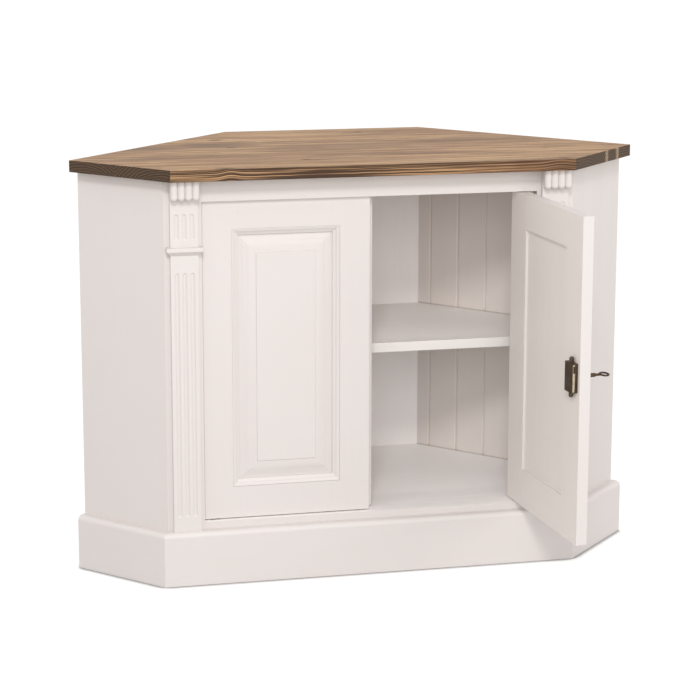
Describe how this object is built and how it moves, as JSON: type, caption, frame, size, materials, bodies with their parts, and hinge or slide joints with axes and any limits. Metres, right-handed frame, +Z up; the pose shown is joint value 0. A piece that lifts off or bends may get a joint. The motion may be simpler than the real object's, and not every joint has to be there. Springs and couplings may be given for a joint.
{
  "type": "corner tv cabinet",
  "caption": "Six-sided corner cabinet with stained wooden top, painted panelled doors on pivot hinges, fluted pilasters, inner shelf and a keyed rim lock.",
  "frame": {"origin": "on the floor, under the middle of the front plinth board", "axes": "+X to the right along the front, +Y towards the room corner behind, +Z up"},
  "size_m": [1.0532, 0.7215, 0.76],
  "materials": {
    "stained_wood": "brown stain, waxed",
    "painted_wood": "warm white paint, satin",
    "raw_wood": "unfinished",
    "burnished_metal": "burnished dark",
    "hinge_brass": "plain",
    "screw_steel": "zinc"
  },
  "bodies": {
    "cabinet": {"bottom_rail": "painted_wood", "floor_cleats": "raw_wood", "floor_panel": "painted_wood", "hinge_screws": "screw_steel", "left_back_boards": "painted_wood", "left_capital": "painted_wood", "left_console": "painted_wood", "left_frieze": "painted_wood", "left_lower_hinge_plate": "hinge_brass", "left_pilaster": "painted_wood", "left_plinth": "painted_wood", "left_side_panel": "painted_wood", "left_stile": "painted_wood", "left_upper_hinge_plate": "hinge_brass", "plinth_front": "painted_wood", "rear_panel": "painted_wood", "right_back_boards": "painted_wood", "right_capital": "painted_wood", "right_console": "painted_wood", "right_frieze": "painted_wood", "right_lower_hinge_plate": "hinge_brass", "right_pilaster": "painted_wood", "right_plinth": "painted_wood", "right_side_panel": "painted_wood", "right_stile": "painted_wood", "right_upper_hinge_plate": "hinge_brass", "shelf": "painted_wood", "shelf_cleats": "painted_wood", "top_board": "stained_wood", "top_cleats": "raw_wood", "top_rail": "painted_wood", "top_screws": "screw_steel"},
    "left_door": {"left_door_bottom_rail": "painted_wood", "left_door_hinge_bushes": "hinge_brass", "left_door_hinge_stile": "painted_wood", "left_door_meeting_stile": "painted_wood", "left_door_panel": "painted_wood", "left_door_panel_moulding": "painted_wood", "left_door_top_rail": "painted_wood", "closing_strip": "painted_wood", "slide_bolt_guide": "burnished_metal"},
    "slide_bolt": {"slide_bolt": "burnished_metal"},
    "right_door": {"right_door_bottom_rail": "painted_wood", "right_door_hinge_bushes": "hinge_brass", "right_door_hinge_stile": "painted_wood", "right_door_meeting_stile": "painted_wood", "right_door_panel": "painted_wood", "right_door_panel_moulding": "painted_wood", "right_door_top_rail": "painted_wood", "lock_plate": "burnished_metal", "lock_case": "burnished_metal", "lock_screws": "burnished_metal"},
    "key": {"key": "burnished_metal"},
    "lock_bolt": {"lock_bolt": "burnished_metal"}
  },
  "joints": [
    {"name": "left_door_swing", "type": "hinge", "parent": "cabinet", "child": "left_door", "pos_m": [-0.2862, 0.0235, 0.4], "axis": [0, 0, -1], "range_deg": [0, 100]},
    {"name": "right_door_swing", "type": "hinge", "parent": "cabinet", "child": "right_door", "pos_m": [0.2862, 0.0235, 0.4], "axis": [0, 0, 1], "range_deg": [-96.6, 3.4]},
    {"name": "slide_bolt_slide", "type": "slide", "parent": "left_door", "child": "slide_bolt", "axis": [0, 0, 1], "range_m": [0, 0.012]},
    {"name": "key_turn", "type": "hinge", "parent": "right_door", "child": "key", "pos_m": [0.31622, -0.23597, 0.412], "axis": [0.9934, 0.1149, 0], "range_deg": [0, 180]},
    {"name": "lock_bolt_slide", "type": "slide", "parent": "right_door", "child": "lock_bolt", "axis": [0.1149, -0.9934, 0], "range_m": [0, 0.014]}
  ],
  "couplings": [
    {"joint": "lock_bolt_slide", "follows": "key_turn", "m_per_rad": 0.004456}
  ]
}
